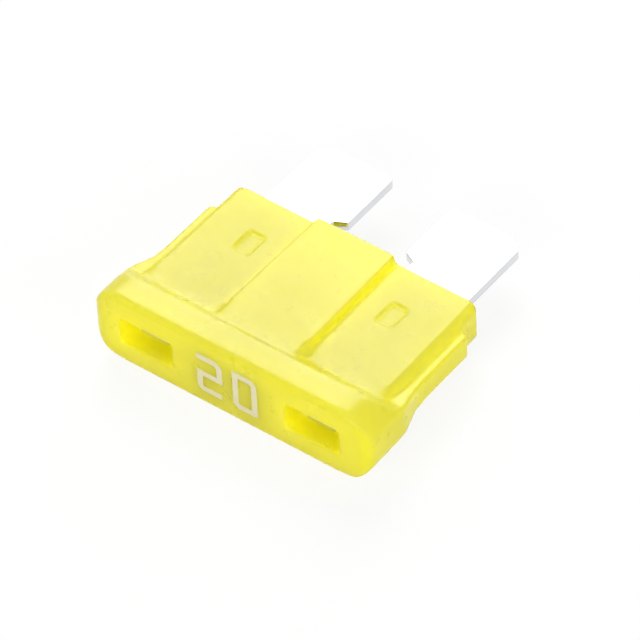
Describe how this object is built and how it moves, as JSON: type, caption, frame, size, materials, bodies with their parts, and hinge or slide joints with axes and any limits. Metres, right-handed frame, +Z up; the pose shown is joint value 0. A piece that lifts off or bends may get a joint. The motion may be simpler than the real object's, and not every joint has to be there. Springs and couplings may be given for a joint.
{
  "type": "blade fuse",
  "caption": "Plug-in automotive blade fuse: a moulded yellow plastic housing with test windows around a stamped metal strip with flat blades and a thinned fusible link.",
  "frame": {"origin": "middle of the fuse's outline, on the lowest face of the crown as it lies flat", "axes": "+X across the width, +Y from the crown towards the blade tips, +Z up through the thickness"},
  "size_m": [0.0196, 0.0186, 0.0051],
  "materials": {
    "housing_plastic": "satin translucent yellow moulding",
    "zinc_strip": "bright tin-plated zinc alloy, smooth rolled"
  },
  "bodies": {
    "root": {"housing": "housing_plastic", "fuse_element": "zinc_strip"}
  },
  "joints": []
}
